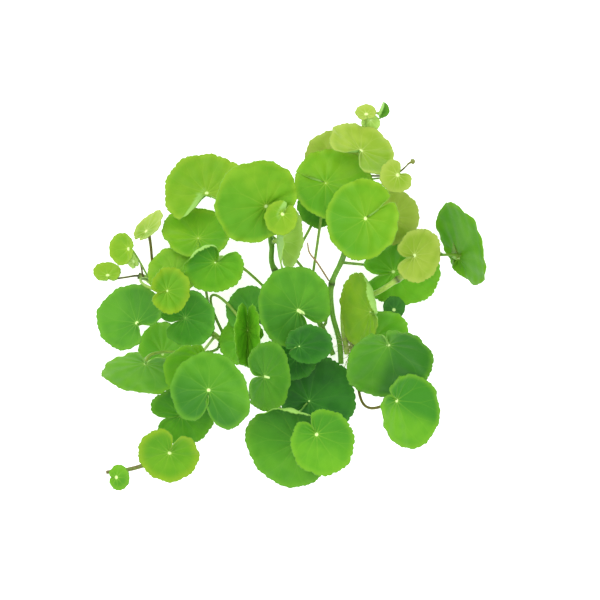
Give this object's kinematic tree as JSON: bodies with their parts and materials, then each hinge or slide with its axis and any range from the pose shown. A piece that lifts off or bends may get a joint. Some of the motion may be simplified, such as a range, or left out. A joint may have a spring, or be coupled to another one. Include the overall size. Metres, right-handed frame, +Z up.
{
  "type": "pond plant bunch",
  "caption": "Loose bunch of a creeping pond plant laid down: round notched cupped leaves on thin petioles, forked stems, roots and a bud, for use as greenery in a set or on a table.",
  "frame": {"origin": "middle of the bunch's bounding box in plan, on the surface that the bunch lies on", "axes": "+Z up from the surface towards the viewer, +Y up the page and +X to the right as the picture shows it"},
  "size_m": [0.198, 0.196, 0.0746],
  "materials": {
    "leaf_bright": "fresh bright green leaf, satin, with faint paler veins",
    "leaf_mid": "grown green leaf, satin",
    "leaf_dark": "old dark green leaf, satin",
    "leaf_young": "young yellow-green leaf, satin",
    "stem_green": "pale juicy stem with dark knots, smooth",
    "root_pale": "pale fine roots, moist"
  },
  "bodies": {
    "root": {"leaf_01": "leaf_young", "leaf_02": "leaf_dark", "leaf_03": "leaf_young", "leaf_04": "leaf_young", "leaf_05": "leaf_young", "leaf_06": "leaf_bright", "leaf_07": "leaf_dark", "leaf_08": "leaf_bright", "leaf_09": "leaf_young", "leaf_10": "leaf_young", "leaf_11": "leaf_bright", "leaf_12": "leaf_bright", "leaf_13": "leaf_bright", "leaf_14": "leaf_young", "leaf_15": "leaf_young", "leaf_16": "leaf_bright", "leaf_17": "leaf_mid", "leaf_18": "leaf_young", "leaf_19": "leaf_bright", "leaf_20": "leaf_bright", "leaf_21": "leaf_mid", "leaf_22": "leaf_mid", "leaf_23": "leaf_dark", "leaf_24": "leaf_mid", "leaf_25": "leaf_mid", "leaf_26": "leaf_bright", "leaf_27": "leaf_mid", "leaf_28": "leaf_mid", "leaf_29": "leaf_bright", "leaf_30": "leaf_dark", "leaf_31": "leaf_young", "leaf_32": "leaf_bright", "leaf_33": "leaf_dark", "leaf_34": "leaf_bright", "leaf_35": "leaf_dark", "leaf_36": "leaf_dark", "leaf_37": "leaf_bright", "leaf_38": "leaf_dark", "leaf_39": "leaf_mid", "leaf_40": "leaf_bright", "leaf_41": "leaf_dark", "leaf_42": "leaf_young", "leaf_43": "leaf_mid", "leaf_44": "leaf_dark", "leaf_45": "leaf_young", "leaf_46": "leaf_young", "leaf_47": "leaf_young", "leaf_48": "leaf_bright", "leaf_49": "leaf_dark", "flower_bud": "leaf_dark", "stem_top": "stem_green", "stem_centre": "stem_green", "stem_left": "stem_green", "stem_right": "stem_green", "stem_lower_left": "stem_green", "stem_bottom": "stem_green", "stem_side": "stem_green", "root_wad": "root_pale", "free_root": "root_pale"}
  },
  "joints": []
}
